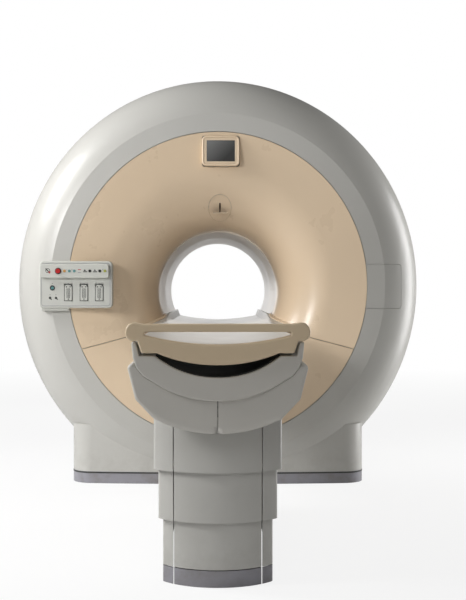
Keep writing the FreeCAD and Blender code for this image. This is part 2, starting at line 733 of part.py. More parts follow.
def table_parts():
    names = ("lower_tier", "middle_tier", "upper_tier")
    parts = tier_panels(0, 0.0, TABLE_PLINTH_HEIGHT, "table_plinth")
    for tier, (z0, z1) in enumerate(TIER_Z):
        parts.update(tier_panels(tier, z0, z1, names[tier]))
    parts["table_base"] = table_base()
    parts["lift_middle_tube"] = lift_tube(98, 178, 180, 400)
    parts["lift_inner_tube"] = lift_tube(86, 166, 340, 568)
    parts["table_chassis"] = table_chassis()
    parts["trough"] = trough()
    parts["left_hull"] = hull(-1)
    parts["right_hull"] = hull(1)
    parts["table_rails"] = table_rails()
    parts["tabletop"] = tabletop()
    parts["tabletop_end"] = end_cap()
    return parts


def main():
    os.makedirs("parts", exist_ok=True)
    parts = {}
    for group in (cover_parts, funnel_parts, panel_parts, magnet_parts, table_parts):
        parts.update(group())
    for name, shape in parts.items():
        shape.translated(V(0, FRONT_Y, 0)).exportStep(f"parts/{name}.step")


main()
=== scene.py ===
import json
import math

import bmesh
import bpy
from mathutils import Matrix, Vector


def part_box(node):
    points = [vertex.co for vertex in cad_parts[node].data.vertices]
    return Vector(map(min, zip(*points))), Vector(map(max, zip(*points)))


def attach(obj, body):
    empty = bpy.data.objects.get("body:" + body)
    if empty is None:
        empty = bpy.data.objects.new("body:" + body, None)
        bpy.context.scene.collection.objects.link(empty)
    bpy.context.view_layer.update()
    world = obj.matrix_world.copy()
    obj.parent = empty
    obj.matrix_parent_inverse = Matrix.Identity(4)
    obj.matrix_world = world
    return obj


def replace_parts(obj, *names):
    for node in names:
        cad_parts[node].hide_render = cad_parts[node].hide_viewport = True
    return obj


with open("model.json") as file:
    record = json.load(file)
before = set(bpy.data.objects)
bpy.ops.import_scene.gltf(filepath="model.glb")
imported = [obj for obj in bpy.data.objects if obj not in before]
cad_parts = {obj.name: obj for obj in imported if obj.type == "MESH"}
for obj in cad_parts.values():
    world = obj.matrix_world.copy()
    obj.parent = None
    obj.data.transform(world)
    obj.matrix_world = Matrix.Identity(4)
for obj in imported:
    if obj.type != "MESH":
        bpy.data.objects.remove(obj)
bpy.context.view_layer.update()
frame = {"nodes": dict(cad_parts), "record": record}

NODES = frame["nodes"]

# Places that the rest is worked out from, in metres, as the model gives them
LINER_LOW, LINER_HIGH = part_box("bore_liner")
AXIS_Z = (LINER_LOW.z + LINER_HIGH.z) / 2
RING_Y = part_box("front_cover")[0].y
TROUGH_LOW, TROUGH_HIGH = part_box("trough")
HULL_LOW, HULL_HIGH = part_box("right_hull")
END_LOW, END_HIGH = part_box("tabletop_end")
PANEL_LOW, PANEL_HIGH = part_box("operator_panel")
STRIP_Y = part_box("keypad_strip")[0].y
BEZEL_LOW, BEZEL_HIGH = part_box("display_bezel")
SCREEN_LOW, SCREEN_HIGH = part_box("display_screen")
UPPER_TIER_LOW, UPPER_TIER_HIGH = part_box("upper_tier_wrap")

# Small sizes that many pieces share, in metres
PROUD = 0.0006  # how far a printed mark stands out of its face
BURIED = 0.001  # how far a mark goes into its face
CRISP = 0.0002  # the rounding of an edge that looks sharp
SEAM = 0.0012  # half of the gap between the hull's halves

# The entry plate and the funnel's curved wall, in metres; depths are measured from the ring
PLATE_FRONT, PLATE_LENGTH = 0.060, 0.290
PLATE_INNER = ((0.275, 0.823), (-0.013, 0.039))  # x and z at the front, and their change to the back
PLATE_OUTER = ((0.420, 0.790), (-0.090, 0.072))
THROAT_DEPTH, FLARE_CENTRE, FLARE_RADIUS = 0.350, 0.639, 0.324

CAMERA_DISTANCE = 5.69  # from the camera to the ring

# Name, place, point that it faces, width and height in metres, and power in watts
LIGHTS = (
    ("key_left", (-2.4, -2.3, 1.95), (0.1, 0.3, 1.25), (0.4, 0.8), 41),
    ("high_left", (-3.2, -0.4, 3.0), (-0.5, 0.45, 1.5), (1.2, 1.2), 112),
    ("edge_right", (3.2, 1.0, 1.2), (0.9, 0.5, 1.0), (1.2, 2.6), 66),
    ("fill_front", (0.0, -4.8, 3.2), (0.0, -0.6, 0.4), (2.4, 1.6), 20),
    ("behind_bore", (-0.5, 4.4, 1.6), (0.1, 1.0, 0.95), (2.0, 1.4), 15),
)

SOIL_COLOUR = (0.20, 0.18, 0.15, 1)
SOIL_HEIGHT = 0.25  # soil fades out at this height over the floor
SCUFF_COLOUR = (0.8, 0.8, 0.8, 1)
STAIN_COLOUR = (0.28, 0.26, 0.23, 1)
# pale colour of the reflection painted onto the display glass towards its upper left corner
SCREEN_PAINTED_REFLECTION = (0.165, 0.165, 0.163, 1)
SCREEN_DARK = (0.020, 0.020, 0.019, 1)
RELIEF_DEPTH = 0.0003


# ---- shader node groups ----


def new_group(name, inputs, outputs):
    """An empty node group; inputs and outputs are (name, socket type, default)."""
    group = bpy.data.node_groups.new(name, "ShaderNodeTree")
    for in_out, sockets in (("INPUT", inputs), ("OUTPUT", outputs)):
        for label, kind, default in sockets:
            socket = group.interface.new_socket(label, in_out=in_out, socket_type="NodeSocket" + kind)
            if default is not None:
                socket.default_value = default
    start = group.nodes.new("NodeGroupInput")
    end = group.nodes.new("NodeGroupOutput")
    return group, start.outputs, end.inputs


def add(tree, kind, inputs=None, **settings):
    """A node with its settings, and with values or links given to its input sockets."""
    node = tree.nodes.new("ShaderNode" + kind)
    for name, value in settings.items():
        setattr(node, name, value)
    for key, value in (inputs or {}).items():
        if isinstance(value, bpy.types.NodeSocket):
            tree.links.new(value, node.inputs[key])
        else:
            node.inputs[key].default_value = value
    return node


def noise(tree, scale, detail=3.0, roughness=0.5, stretch=None):
    """Noise over the object's own coordinates, drawn out along the axes whose stretch is small."""
    where = add(tree, "TexCoord").outputs["Object"]
    if stretch:
        where = add(tree, "Mapping", {"Vector": where, "Scale": stretch}).outputs[0]
    inputs = {"Vector": where, "Scale": scale, "Detail": detail, "Roughness": roughness}
    return add(tree, "TexNoise", inputs).outputs["Fac"]


def remap(tree, value, low, high, to_low=0.0, to_high=1.0):
    """The value's run from low to high turned into one from to_low to to_high."""
    inputs = {"Value": value, "From Min": low, "From Max": high, "To Min": to_low, "To Max": to_high}
    return add(tree, "MapRange", inputs).outputs["Result"]


def maths(tree, operation, a, b, c=0.0):
    return add(tree, "Math", {0: a, 1: b, 2: c}, operation=operation).outputs[0]


def mix_colour(tree, factor, a, b):
    return add(tree, "Mix", {0: factor, 6: a, 7: b}, data_type="RGBA").outputs[2]


def moulded_group():
    """Moulded plastic: slow drifts of tone, a fine pebble, haze, hairline scuffs, and soil near the floor."""
    group, given, out = new_group(
        "MouldedSurface",
        [
            ("Colour", "Color", (0.8, 0.8, 0.8, 1)),
            ("Roughness", "Float", 0.35),
            ("Pebble", "Float", 900.0),
            ("Drift", "Float", 0.035),
            ("Soil", "Float", 0.25),
            ("Scuffs", "Float", 0.15),
        ],
        [("Colour", "Color", None), ("Roughness", "Float", None), ("Height", "Float", None)],
    )
    slow = remap(group, noise(group, scale=1.3, detail=1.0), 0.3, 0.7, -1.0, 1.0)
    value = maths(group, "MULTIPLY_ADD", slow, given["Drift"], 1.0)
    toned = add(group, "HueSaturation", {"Color": given["Colour"], "Value": value}).outputs[0]
    height = add(group, "SeparateXYZ", {0: add(group, "TexCoord").outputs["Object"]}).outputs["Z"]
    near_floor = remap(group, height, 0.0, SOIL_HEIGHT, 1.0, 0.0)
    patches = remap(group, noise(group, scale=14.0, detail=5.0, roughness=0.65), 0.42, 0.75)
    soil = maths(group, "MULTIPLY", maths(group, "MULTIPLY", near_floor, patches), given["Soil"])
    across = remap(group, noise(group, scale=16.0, detail=2.0, stretch=(1.0, 3.0, 60.0)), 0.77, 0.80)
    along = remap(group, noise(group, scale=16.0, detail=2.0, stretch=(55.0, 4.0, 1.0)), 0.78, 0.81)
    scuffs = maths(group, "MULTIPLY", maths(group, "MAXIMUM", across, along), given["Scuffs"])
    dirty = mix_colour(group, soil, toned, SOIL_COLOUR)
    scuffed = mix_colour(group, maths(group, "MULTIPLY", scuffs, 0.25), dirty, SCUFF_COLOUR)
    group.links.new(scuffed, out["Colour"])
    haze = remap(group, noise(group, scale=5.5, detail=4.0, roughness=0.6), 0.3, 0.75, -0.05, 0.06)
    rough = maths(group, "ADD", given["Roughness"], haze)
    rough = maths(group, "ADD", rough, maths(group, "MULTIPLY", soil, 0.8))
    group.links.new(maths(group, "ADD", rough, scuffs), out["Roughness"])
    where = add(group, "TexCoord").outputs["Object"]
    pebble = add(group, "TexVoronoi", {"Vector": where, "Scale": given["Pebble"]}, feature="SMOOTH_F1")
    group.links.new(maths(group, "SUBTRACT", pebble.outputs["Distance"], scuffs), out["Height"])
    return group


def brushed_group():
    """Bare or plated metal: fine streaks along the part, and stains."""
    group, given, out = new_group(
        "MetalSurface",
        [("Colour", "Color", (0.6, 0.6, 0.6, 1)), ("Roughness", "Float", 0.35), ("Streaks", "Float", 0.1)],
        [("Colour", "Color", None), ("Roughness", "Float", None), ("Height", "Float", None)],
    )
    lines = noise(group, scale=1.0, stretch=(260.0, 8.0, 260.0))
    stains = remap(group, noise(group, scale=6.0, detail=5.0, roughness=0.6), 0.4, 0.8, 0.0, 0.35)
    group.links.new(mix_colour(group, stains, given["Colour"], STAIN_COLOUR), out["Colour"])
    spread = maths(group, "MULTIPLY", remap(group, lines, 0.2, 0.8, -1.0, 1.0), given["Streaks"])
    group.links.new(maths(group, "ADD", given["Roughness"], spread), out["Roughness"])
    group.links.new(lines, out["Height"])
    return group


MOULDED = moulded_group()
BRUSHED = brushed_group()


# ---- materials ----


def material(name, group, colour, roughness, bump, group_values, **shader):
    """Colour, roughness and relief come from a group, and the rest is set on the shader's own sockets."""
    made = bpy.data.materials.new(name)
    made.use_nodes = True
    tree = made.node_tree
    principled = tree.nodes["Principled BSDF"]
    surface = add(tree, "Group", node_tree=group)
    surface.inputs["Colour"].default_value = (*colour, 1)
    surface.inputs["Roughness"].default_value = roughness
    for key, value in group_values.items():
        surface.inputs[key].default_value = value
    height = surface.outputs["Height"]
    relief = add(tree, "Bump", {"Height": height, "Strength": bump, "Distance": RELIEF_DEPTH})
    tree.links.new(surface.outputs["Colour"], principled.inputs["Base Color"])
    tree.links.new(surface.outputs["Roughness"], principled.inputs["Roughness"])
    tree.links.new(relief.outputs["Normal"], principled.inputs["Normal"])
    for key, value in shader.items():
        principled.inputs[key.replace("_", " ")].default_value = value
    made.diffuse_color = (*colour, 1)
    return made


def moulded(name, colour, roughness=0.36, bump=0.05, coat=0.12, **values):
    settings = {key.capitalize(): value for key, value in values.items()}
    return material(name, MOULDED, colour, roughness, bump, settings, Coat_Weight=coat, Coat_Roughness=0.22)


def screen_glass():
    """Dark display glass with a painted reflection: its colour is painted paler across its upper left corner.
    """
    made = moulded("screen_glass", (0.040, 0.040, 0.041), 0.30, bump=0.0, coat=0.15, drift=0.02)
    tree = made.node_tree
    where = add(tree, "SeparateXYZ", {0: add(tree, "TexCoord").outputs["Object"]})
    middle = (SCREEN_LOW + SCREEN_HIGH) / 2
    across = maths(tree, "MULTIPLY_ADD", where.outputs["X"], 1.0, -middle.x)
    down = maths(tree, "MULTIPLY_ADD", where.outputs["Z"], -1.0, middle.z)
    # haze is a painted reflection: a mask that makes the glass colour paler towards its upper left corner
    haze = remap(tree, maths(tree, "ADD", across, down), -0.10, 0.06)
    group = next(node for node in tree.nodes if node.type == "GROUP")
    glass_with_painted_reflection = mix_colour(tree, haze, SCREEN_PAINTED_REFLECTION, SCREEN_DARK)
    tree.links.new(glass_with_painted_reflection, group.inputs["Colour"])
    return made


def metal(name, colour, roughness):
    return material(name, BRUSHED, colour, roughness, bump=0.15, group_values={}, Metallic=1.0)


def make_materials():
    return {
        "cover": moulded("cover_warm_grey", (0.520, 0.512, 0.482), 0.38, coat=0.12),
        "cover_shade": moulded(
            "table_hull_grey", (0.540, 0.522, 0.482), 0.44, bump=0.12, coat=0.05, pebble=650.0
        ),
        "funnel": moulded("funnel_cream", (0.790, 0.625, 0.445), 0.31, coat=0.25, scuffs=0.1),
        "end_beige": moulded(
            "end_cap_tan", (0.640, 0.512, 0.350), 0.46, bump=0.12, coat=0.05, pebble=700.0
        ),
        "plinth": moulded("plinth_blue_grey", (0.290, 0.285, 0.315), 0.36, soil=0.6, scuffs=0.4),
        "liner": moulded("bore_liner_cream", (0.800, 0.730, 0.640), 0.35),
        "board": moulded("tabletop_light_grey", (0.580, 0.555, 0.515), 0.38, scuffs=0.3),
        "screen": screen_glass(),
        "panel": moulded("panel_grey", (0.540, 0.545, 0.505), 0.5, bump=0.3, coat=0.0, pebble=500.0),
        "socket": moulded("socket_dark", (0.035, 0.038, 0.036), 0.45, coat=0.0),
        "red_button": moulded("button_red", (0.45, 0.02, 0.02), 0.25),
        "amber_button": moulded("button_amber", (0.50, 0.27, 0.08), 0.3),
        "teal_button": moulded("button_teal", (0.12, 0.28, 0.28), 0.3),
        "black_button": moulded("button_black", (0.02, 0.02, 0.02), 0.3),
        "green_button": moulded("button_green", (0.38, 0.40, 0.10), 0.3),
        "laser_window": moulded("laser_window_dark", (0.03, 0.015, 0.01), 0.1, coat=0.5),
        "vessel_steel": metal("vessel_steel", (0.55, 0.56, 0.57), 0.38),
        "shield": metal("shield_aluminium", (0.75, 0.75, 0.76), 0.25),
        "winding": metal("winding_copper", (0.55, 0.28, 0.15), 0.4),
        "resin": moulded("cast_resin", (0.60, 0.48, 0.20), 0.4, coat=0.3),
        "frame_steel": moulded("frame_powder_coat", (0.07, 0.075, 0.08), 0.5, bump=0.4, pebble=400.0),
    }


MATERIALS = make_materials()


def dress_frame():
    for entry in frame["record"]["subparts"]:
        node = NODES[entry["node"]]
        node.data.materials.clear()
        node.data.materials.append(MATERIALS[entry["material_slot"]])


# ---- mesh helpers ----


def arc(start, middle, end, steps=12):
    """The points after start on the arc from start through middle to end."""
    (ax, az), (bx, bz), (cx, cz) = start, middle, end
    d = 2 * (ax * (bz - cz) + bx * (cz - az) + cx * (az - bz))
    a2, b2, c2 = (x * x + z * z for x, z in (start, middle, end))
    ux = (a2 * (bz - cz) + b2 * (cz - az) + c2 * (az - bz)) / d
    uz = (a2 * (cx - bx) + b2 * (ax - cx) + c2 * (bx - ax)) / d
    radius = math.hypot(ax - ux, az - uz)
    first = math.atan2(az - uz, ax - ux)
    via = (math.atan2(bz - uz, bx - ux) - first) % (2 * math.pi)
    turn = (math.atan2(cz - uz, cx - ux) - first) % (2 * math.pi)
    if via > turn:
        turn -= 2 * math.pi
    angles = (first + turn * (i + 1) / steps for i in range(steps))
    return [(ux + radius * math.cos(t), uz + radius * math.sin(t)) for t in angles]


def outline(start, *steps):
    """A list of (x, z) points in metres: a step is a point for a line, or a pair (middle, end) for an arc."""
    points = [start]
    for step in steps:
        points += arc(points[-1], *step) if isinstance(step[0], tuple) else [step]
    return points


def mirrored(right):
    """A closed loop from its right half, which starts and ends on the middle line."""
    return right + [(-x, z) for x, z in reversed(right) if x > 1e-9]


def rounded_rectangle(low, high, radius, steps=6):
    """A closed loop of (x, z) points with rounded corners."""
    (x0, z0), (x1, z1) = low, high
    left, right, foot, top = x0 + radius, x1 - radius, z0 + radius, z1 - radius
    centres = ((right, top), (left, top), (left, foot), (right, foot))
    points = []
    for quarter, (x, z) in enumerate(centres):
        for i in range(steps + 1):
            t = math.pi / 2 * (quarter + i / steps)
            points.append((x + radius * math.cos(t), z + radius * math.sin(t)))
    return points


def centre(low, high):
    """The middle of a box in x and z."""
    return (low.x + high.x) / 2, (low.z + high.z) / 2


def placed(x, z, offsets):
    """The points at the given offsets from x, z."""
    return [(x + dx, z + dz) for dx, dz in offsets]


def circle(x, z, radius, steps=32):
    angles = (2 * math.pi * i / steps for i in range(steps))
    return [(x + radius * math.cos(t), z + radius * math.sin(t)) for t in angles]


def softened(points, radius, steps=5):
    """The loop with each sharp corner replaced by a small curve that starts radius away from it."""
    soft = []
    count = len(points)
    for i, (x, z) in enumerate(points):
        here = Vector((x, z))
        back = Vector(points[i - 1]) - here
        ahead = Vector(points[(i + 1) % count]) - here
        if back.angle(ahead, math.pi) > math.radians(160):
            soft.append((x, z))
            continue
        a = here + back.normalized() * min(radius, back.length * 0.45)
        b = here + ahead.normalized() * min(radius, ahead.length * 0.45)
        for k in range(steps + 1):
            t = k / steps
            soft.append(tuple(a * (1 - t) ** 2 + here * 2 * t * (1 - t) + b * t * t))
    return soft


def signed_area(loop):
    return sum(a[0] * b[1] - b[0] * a[1] for a, b in zip(loop, loop[1:] + loop[:1])) / 2


def inset_loop(loop, distance):
    """The loop moved to its left by distance, as far as its corners allow."""
    moved = []
    count = len(loop)
    for i, point in enumerate(loop):
        here = Vector(point)
        before = (here - Vector(loop[i - 1])).normalized()
        after = (Vector(loop[(i + 1) % count]) - here).normalized()
        side = Vector((-before.y, before.x)) + Vector((-after.y, after.x))
        side = side / max(side.length_squared / 2, 0.5)
        moved.append(tuple(here + side * distance))
    return moved


def new_object(name, mesh, slot, body):
    data = bpy.data.meshes.new(name)
    mesh.to_mesh(data)
    mesh.free()
    made = bpy.data.objects.new(name, data)
    bpy.context.scene.collection.objects.link(made)
    data.materials.append(MATERIALS[slot])
    data.polygons.foreach_set("use_smooth", [True] * len(data.polygons))
    made.modifiers.new("even_normals", "WEIGHTED_NORMAL").keep_sharp = True
    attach(made, body)
    return made


def moulding(
    name, loops, front, back, radius, slot, body="machine", back_radius=0.0, steps=4, adjust=None, lean=None
):
    """A solid between y = front and back whose outline and holes are closed loops of (x, z) points.

    Its front edges are rounded by radius and its back ones by back_radius. adjust(point, moved) can change
    where a point of the outline goes in the rounding. lean(z) is how far the front stands back at a height.
    """
    loops = [loop if (signed_area(loop) > 0) == (i == 0) else loop[::-1] for i, loop in enumerate(loops)]
    quarter = [math.pi / 2 * i / steps for i in range(steps + 1)]
    sections = [(radius * (1 - math.sin(t)), front + radius * (1 - math.cos(t))) for t in quarter]
    sections += [(back_radius * (1 - math.cos(t)), back - back_radius * (1 - math.sin(t))) for t in quarter]
    if back_radius == 0.0:  # a sharp back edge needs one ring only
        sections = sections[: steps + 2]
    mesh = bmesh.new()
    first_edges, last_edges = [], []
    for loop in loops:
        rings = []
        for number, (inset, y) in enumerate(sections):
            moved = inset_loop(loop, inset)
            in_front = number <= steps
            if adjust and in_front:
                moved = [adjust(p, q) for p, q in zip(loop, moved)]
            backs = [lean(z) if lean and in_front else 0.0 for _, z in moved]
            rings.append([mesh.verts.new((x, y + back_by, z)) for (x, z), back_by in zip(moved, backs)])
        for near, far in zip(rings, rings[1:]):
            for i in range(len(near)):
                mesh.faces.new((near[i - 1], near[i], far[i], far[i - 1]))
        for ring, edges in ((rings[0], first_edges), (rings[-1], last_edges)):
            edges += [mesh.edges.get((ring[i - 1], ring[i])) for i in range(len(ring))]
    for edges in (first_edges, last_edges):
        bmesh.ops.triangle_fill(mesh, use_beauty=True, use_dissolve=False, edges=edges)
    bmesh.ops.recalc_face_normals(mesh, faces=mesh.faces)
    return new_object(name, mesh, slot, body)


# ---- the table ----


def trough_section():
    """Right half of the trough's outer surface, from its underside to its top edge, in metres."""
    top = TROUGH_HIGH.z
    return outline(
        (0, TROUGH_LOW.z),
        ((0.088, top - 0.182), (0.209, top - 0.129)),
        (0.240, top - 0.111),
        (0.261, top - 0.084),
        (0.271, top - 0.053),
        (0.2755, top - 0.010),
    )


def channel_arc():
    """Right half of the trough's dished channel, from its shoulder down to the middle."""
    top = TROUGH_HIGH.z
    shoulder = (0.2005, top - 0.0455)
    return [shoulder] + arc(shoulder, (0.109, top - 0.098), (0, top - 0.116))


def make_trough():
    """The grey moulding around the tabletop, dished inside, with blunt horns at the top of its sides."""
    top = TROUGH_HIGH.z
    outside = trough_section()
    horn = arc(outside[-1], (0.2675, top), (0.2590, top - 0.009), 8)
    room = [(0.252, top - 0.0455)] + channel_arc()
    loop = mirrored(outside + horn + room)
    ends = (TROUGH_LOW.y, TROUGH_HIGH.y)
    trough = moulding("trough_moulding", [loop], *ends, 0.006, "cover_shade", "table_carriage")
    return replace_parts(trough, "trough")


def make_hull(side):
    """One half of the hull under the trough: its face leans in towards its broadly bevelled lower edge.

    It is a block in front of the table's column and another behind it, with a thin wall beside the column.
    """
    low, top = HULL_LOW.z, HULL_HIGH.z
    belly = outline((SEAM, low), ((0.112, low + 0.013), (0.207, low + 0.050)), (0.2555, low + 0.1025))
    chine = arc(belly[-1], (0.2632, low + 0.1110), (0.2670, low + 0.1215), 6)
    outside = belly + chine + [(0.2885, top - 0.020)]
    corner = arc(outside[-1], (0.2830, top - 0.006), (0.2690, top - 0.001), 6)
    inner = [(x, z) for x, z in reversed(trough_section()) if z < top - 0.006 and x > SEAM]
    loop = outside + corner + inner + [(SEAM, TROUGH_LOW.z)]
    loop = [(side * x, z) for x, z in loop]
    under_trough = {(side * x, z) for x, z in inner}
    extra, extra_height, trough_reach, slope = 1.6, 0.10, 0.15, 0.10

    def adjust(point, moved):
        """Sharp along the middle seam and under the trough, and broadest along the lower edge."""
        if abs(abs(point[0]) - SEAM) < 1e-6:
            reach = 1.0 + extra if point[1] < low + 0.02 else 0.0
            return point[0], point[1] + reach * abs(moved[1] - point[1])
        low_share = max(0.0, 1.0 - (point[1] - low) / extra_height)
        reach = trough_reach if point in under_trough else 1.0 + extra * low_share
        return tuple(Vector(point) + (Vector(moved) - Vector(point)) * reach)

    def lean(z):
        return slope * (top - z)

    name = "right_hull" if side > 0 else "left_hull"
    slot, body = "cover_shade", "table_carriage"
    clearance, overlap = 0.006, 0.001
    thickness, step_up = 0.0075, 0.003
    column = (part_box("upper_tier_front")[0].y - clearance, UPPER_TIER_HIGH.y + clearance)
    hull = moulding(
        name + "_moulding", [loop], HULL_LOW.y, column[0], 0.010, slot, body, adjust=adjust, lean=lean
    )
    moulding(name + "_rear", [loop], column[1], HULL_HIGH.y, CRISP, slot, body, steps=1)
    wall = [(0.232, low + 0.0771)] + outside[len(belly) - 1:]
    lining = [(0.2690, top - 0.008), (0.2790, top - 0.022)]
    lining += [(x - thickness, z + step_up) for x, z in wall[-2::-1]]
    side_loop = [(side * x, z) for x, z in wall + corner + lining]
    ends = (column[0] - overlap, column[1] + overlap)
    moulding(name + "_side", [side_loop], *ends, CRISP, slot, body, steps=1)
    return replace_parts(hull, name)


def make_handle_end():
    """The tan end block of the tabletop with its pull bar, moulded in one, and rounded all over."""
    mid = END_LOW.z
    half = END_HIGH.x
    bar_top = mid + 0.131
    knob_low = mid + 0.077
    foot = mid + 0.038
    outer = [(0, bar_top), (0.240, bar_top)]
    outer += arc((0.240, bar_top), (0.256, bar_top + 0.003), (0.268, bar_top + 0.0045), 4)
    outer += arc(outer[-1], (half - 0.0065, bar_top - 0.006), (half, bar_top - 0.026), 6)
    outer += arc((half, bar_top - 0.030), (half - 0.008, knob_low + 0.006), (half - 0.026, knob_low), 6)
    outer += [(0.2560, knob_low), (0.2435, mid + 0.040), (0.2400, foot), (0.195, foot)]
    outer += arc((0.195, foot), (0.106, mid + 0.0105), (0, mid), 16)
    gap_side = 0.228
    gap_top, gap_low = mid + 0.1055, mid + 0.0935
    gap = [(0, gap_top), (gap_side, gap_top)]
    gap += arc((gap_side, gap_top), (0.2335, mid + 0.1000), (gap_side, gap_low), 6)
    gap += arc((gap_side, gap_low), (0.126, mid + 0.0735), (0, mid + 0.065), 14)
    loops = [mirrored(outer), mirrored(gap)]
    ends = (END_LOW.y, END_HIGH.y)
    handle = moulding(
        "handle_end_moulding", loops, *ends, 0.006, "end_beige", "patient_top", back_radius=0.003
    )
    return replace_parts(handle, "tabletop_end")


def make_trough_painted_shade_sheet():
    """A thin near-black sheet over the trough's channel: painted shade that stands for the deep shadow inside
    the channel.
    """
    thickness, narrowing = 0.003, 0.985
    under = channel_arc()
    over = [(x * narrowing, z + thickness) for x, z in under]
    loop = mirrored(under) + mirrored(over)[::-1]
    ends = (TROUGH_LOW.y + 0.018, TROUGH_HIGH.y - 0.01)
    # the sheet is painted shade: dark material laid where the channel only lies in shadow
    return moulding("trough_painted_shade_sheet", [loop], *ends, 0.001, "socket", "table_carriage", steps=1)


def make_tier_clip():
    """The small catch on the upper tier's right corner, under the hull."""
    x, z = UPPER_TIER_HIGH.x, UPPER_TIER_HIGH.z
    y = UPPER_TIER_LOW.y + 0.085
    length, rounding = 0.022, 0.004
    loop = rounded_rectangle((x - 0.004, z - 0.014), (x + 0.009, z + 0.012), 0.005)
    return moulding(
        "tier_corner_catch", [loop], y, y + length, rounding, "cover", "table_carriage", back_radius=rounding
    )


def plate_height(x, y):
    """Height of the entry plate's flared sides at x, y from the ring, in metres."""
    t = (y - PLATE_FRONT) / PLATE_LENGTH
    inner, outer = (
        [start + change * t for start, change in zip(*edge)] for edge in (PLATE_INNER, PLATE_OUTER)
    )
    share = (x - inner[0]) / (outer[0] - inner[0])
    return inner[1] + share * (outer[1] - inner[1])


def funnel_radius(y):
    """The funnel's radius at a depth behind the ring, along its curved part."""
    return FLARE_CENTRE - math.sqrt(FLARE_RADIUS**2 - (THROAT_DEPTH - y) ** 2)


def make_entry_ledge(side):
    """The cream step between funnel wall and entry plate, wide in front and dying out at the throat."""
    start, length, steps = 0.075, 0.270, 12
    widest, narrowest = 0.050, 0.004
    depth, lip = 0.010, 0.002
    mesh = bmesh.new()
    rows = []
    for i in range(steps + 1):
        y = start + length * i / steps
        reach = funnel_radius(y) - lip
        x = 0.30
        for _ in range(30):  # closes in on the place where the plate's height meets the wall
            x = math.sqrt(max(reach**2 - (AXIS_Z - plate_height(x, y)) ** 2, 0.0))
        width = widest * (1 - i / steps) + narrowest
        places = (
            (x, -depth),
            (x, 0.0040),
            (x - lip, 0.0050),
            (x - width, 0.0045),
            (x - width - lip, 0.003),
            (x - width - lip, -depth),
        )
        rows.append([
            mesh.verts.new((side * px, RING_Y + y, plate_height(min(px, x), y) + up)) for px, up in places
        ])
    for near, far in zip(rows, rows[1:]):
        for j in range(len(near)):
            mesh.faces.new((near[j - 1], near[j], far[j], far[j - 1]))
    mesh.faces.new(rows[0])
    mesh.faces.new(rows[-1])
    bmesh.ops.recalc_face_normals(mesh, faces=mesh.faces)
    name = "right" if side > 0 else "left"
    return new_object(f"entry_ledge_{name}", mesh, "funnel", "machine")


# ---- the operator panel and the funnel's fittings ----


def flat_mark(name, loops, y, slot, thickness=PROUD):
    """A thin printed or inlaid shape standing just proud of a face at y: an outline, and any holes in it."""
    return moulding(name, loops, y - thickness, y + BURIED, CRISP, slot, steps=1)


def make_panel_edge():
    """The strip between the blanking panel and the funnel, curved along the ring's inner edge."""
    clearance, lap, steps = 0.0015, 0.004, 16
    low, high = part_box("blanking_panel")
    funnel_top, funnel_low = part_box("funnel_upper")[1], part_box("funnel_right")[0]
    middle = (funnel_top.z + funnel_low.z) / 2
    half_width, half_height = funnel_top.x + clearance, funnel_top.z - middle + clearance
    heights = [low.z + (high.z - low.z) * i / steps for i in range(steps + 1)]
    curve = [(half_width * math.sqrt(1 - ((z - middle) / half_height) ** 2), z) for z in heights]
    loop = curve + [(low.x + lap, high.z), (low.x + lap, low.z)]
    return moulding("blanking_panel_edge", [loop], RING_Y + 0.0006, RING_Y + 0.006, 0.0004, "cover", steps=1)


def make_plinth_line():
    """The dark joint over the plinth: a thin band round the plinth strip's top edge."""
    node, proud = "plinth_strip", 0.0012
    mesh = bmesh.new()
    mesh.from_mesh(NODES[node].data)
    low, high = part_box(node)
    for height, normal in ((high.z - 0.0085, 1), (high.z - 0.0015, -1)):
        geometry = mesh.verts[:] + mesh.edges[:] + mesh.faces[:]
        bmesh.ops.bisect_plane(
            mesh, geom=geometry, plane_co=(0, 0, height), plane_no=(0, 0, normal), clear_inner=True
        )
    bmesh.ops.remove_doubles(mesh, verts=mesh.verts, dist=1e-5)
    bmesh.ops.holes_fill(mesh, edges=[edge for edge in mesh.edges if edge.is_boundary])
    middle = (low + high) / 2
    for vert in mesh.verts:
        for axis in (0, 1):
            vert.co[axis] += proud * (1 if vert.co[axis] > middle[axis] else -1)
    line = new_object(node + "_joint", mesh, "socket", "machine")
    line.data.set_sharp_from_angle(angle=math.radians(40))
    return line


def make_panel():
    """The housing over the panel's CAD body: a fine border line, and a bracket under its left end."""
    low, high, y = PANEL_LOW, PANEL_HIGH, PANEL_LOW.y
    border = rounded_rectangle((low.x + 0.011, low.z + 0.010), (high.x - 0.011, high.z - 0.010), 0.014)
    inside = rounded_rectangle((low.x + 0.013, low.z + 0.012), (high.x - 0.013, high.z - 0.012), 0.012)
    moulding("panel_border", [border, inside], y - 0.0008, y + BURIED, 0.0004, "plinth", steps=1)
    foot = rounded_rectangle((low.x + 0.008, low.z - 0.014), (low.x + 0.150, low.z + 0.010), 0.009)
    moulding("panel_foot", [foot], y + 0.012, y + 0.075, 0.005, "panel")


